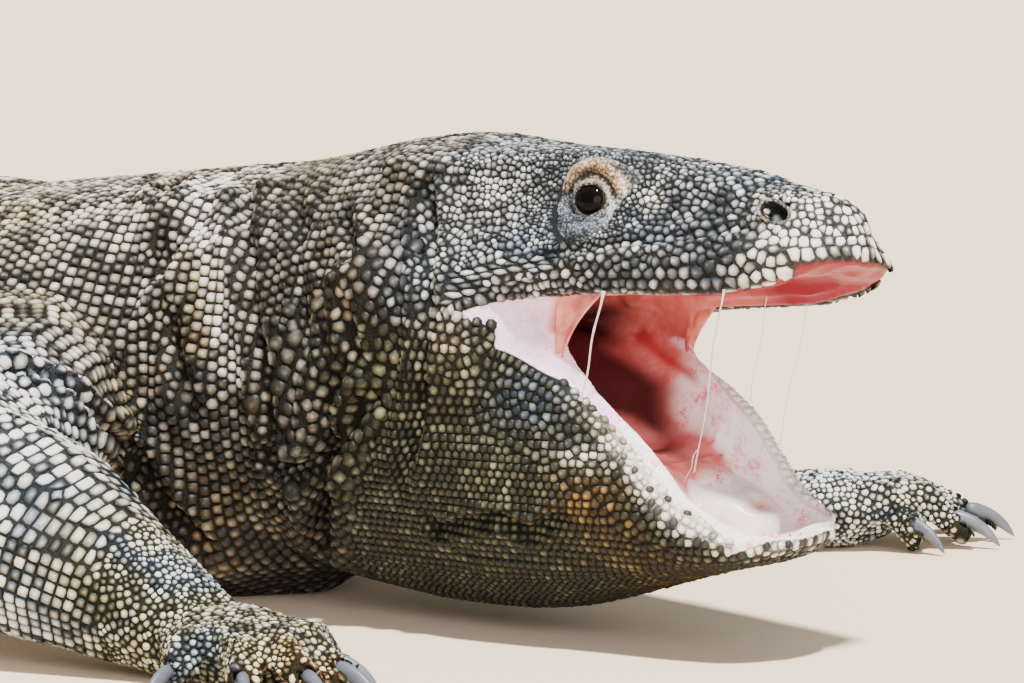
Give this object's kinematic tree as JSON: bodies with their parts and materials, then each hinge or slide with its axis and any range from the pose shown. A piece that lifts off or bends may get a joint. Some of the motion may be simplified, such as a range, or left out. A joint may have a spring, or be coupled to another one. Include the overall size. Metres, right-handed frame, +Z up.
{
  "type": "komodo dragon model",
  "caption": "Still, life-size model of a komodo dragon lying on its belly, with its head raised, its mouth wide open and its tail in a slow curve.",
  "frame": {"origin": "middle of the flat face that the belly rests on, on the floor", "axes": "+X along the trunk towards the head, +Y to the animal's left, +Z up"},
  "size_m": [2.3661, 0.8829, 0.2143],
  "materials": {
    "scaly_skin": "matt, scaly",
    "claw_horn": "satin",
    "eye_wet": "wet gloss",
    "mouth_pink": "wet"
  },
  "bodies": {
    "root": {"head": "scaly_skin", "left_eye": "eye_wet", "left_foot": "scaly_skin", "left_fore_claw_1": "claw_horn", "left_fore_claw_2": "claw_horn", "left_fore_claw_3": "claw_horn", "left_fore_claw_4": "claw_horn", "left_fore_claw_5": "claw_horn", "left_forearm": "scaly_skin", "left_hand": "scaly_skin", "left_hind_claw_1": "claw_horn", "left_hind_claw_2": "claw_horn", "left_hind_claw_3": "claw_horn", "left_hind_claw_4": "claw_horn", "left_hind_claw_5": "claw_horn", "left_shin": "scaly_skin", "left_thigh": "scaly_skin", "left_upper_arm": "scaly_skin", "lower_jaw": "scaly_skin", "neck": "scaly_skin", "right_eye": "eye_wet", "right_foot": "scaly_skin", "right_fore_claw_1": "claw_horn", "right_fore_claw_2": "claw_horn", "right_fore_claw_3": "claw_horn", "right_fore_claw_4": "claw_horn", "right_fore_claw_5": "claw_horn", "right_forearm": "scaly_skin", "right_hand": "scaly_skin", "right_hind_claw_1": "claw_horn", "right_hind_claw_2": "claw_horn", "right_hind_claw_3": "claw_horn", "right_hind_claw_4": "claw_horn", "right_hind_claw_5": "claw_horn", "right_shin": "scaly_skin", "right_thigh": "scaly_skin", "right_upper_arm": "scaly_skin", "tail_1": "scaly_skin", "tail_2": "scaly_skin", "tail_3": "scaly_skin", "tail_4": "scaly_skin", "tail_5": "scaly_skin", "tongue": "mouth_pink", "trunk_front": "scaly_skin", "trunk_rear": "scaly_skin"}
  },
  "joints": []
}
